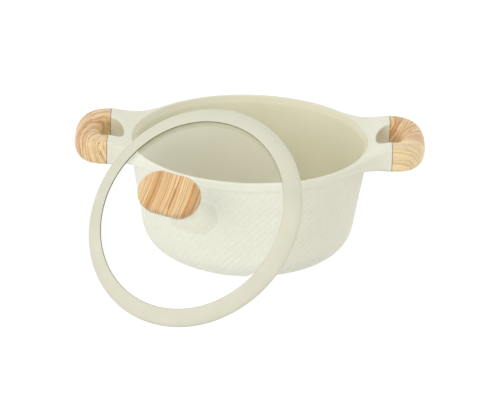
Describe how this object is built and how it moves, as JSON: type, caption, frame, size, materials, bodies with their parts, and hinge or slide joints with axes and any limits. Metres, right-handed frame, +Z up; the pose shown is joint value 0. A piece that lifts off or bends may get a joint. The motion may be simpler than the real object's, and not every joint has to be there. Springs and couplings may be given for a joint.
{
  "type": "two-handled saucepan with glass lid",
  "caption": "Cream cast pot with loop side handles in wood-effect grips, and a domed glass lid with a silicone ring and an oblong wood-effect knob, leaning on the rim.",
  "frame": {"origin": "middle of the pot's underside, on the table", "axes": "+X towards the right-hand handle, -Y towards the pot's front where the lid leans, +Z up"},
  "size_m": [0.3562, 0.3475, 0.1746],
  "materials": {
    "cream_coating": "cream ceramic coating over cast aluminium, satin",
    "disc_steel": "turned magnetic steel",
    "wood_effect": "heat-proof resin with a wood-grain surface, satin",
    "dark_gasket": "dark silicone",
    "screw_steel": "stainless",
    "clear_glass": "clear tempered glass",
    "cream_silicone": "cream silicone, soft matte",
    "cream_plastic": "cream heat-proof resin",
    "clear_silicone": "translucent silicone",
    "insert_brass": "knurled brass"
  },
  "bodies": {
    "pot": {"pot_body": "cream_coating", "base_disc": "disc_steel", "grip_left": "wood_effect", "grip_right": "wood_effect", "grip_gasket_left_front": "dark_gasket", "grip_gasket_left_back": "dark_gasket", "grip_gasket_right_front": "dark_gasket", "grip_gasket_right_back": "dark_gasket", "grip_screw_left_front": "screw_steel", "grip_screw_left_back": "screw_steel", "grip_screw_right_front": "screw_steel", "grip_screw_right_back": "screw_steel"},
    "lid": {"lid_glass": "clear_glass", "lid_ring": "cream_silicone", "knob_gasket_upper": "clear_silicone", "knob_gasket_lower": "clear_silicone", "knob_base": "cream_plastic", "knob_washer": "screw_steel", "knob_screw": "screw_steel", "knob_insert": "insert_brass", "knob_cap": "wood_effect"}
  },
  "joints": [
    {"name": "lid_lift", "type": "slide", "parent": "pot", "child": "lid", "axis": [0, 0, 1], "range_m": [0, 0.2]}
  ]
}
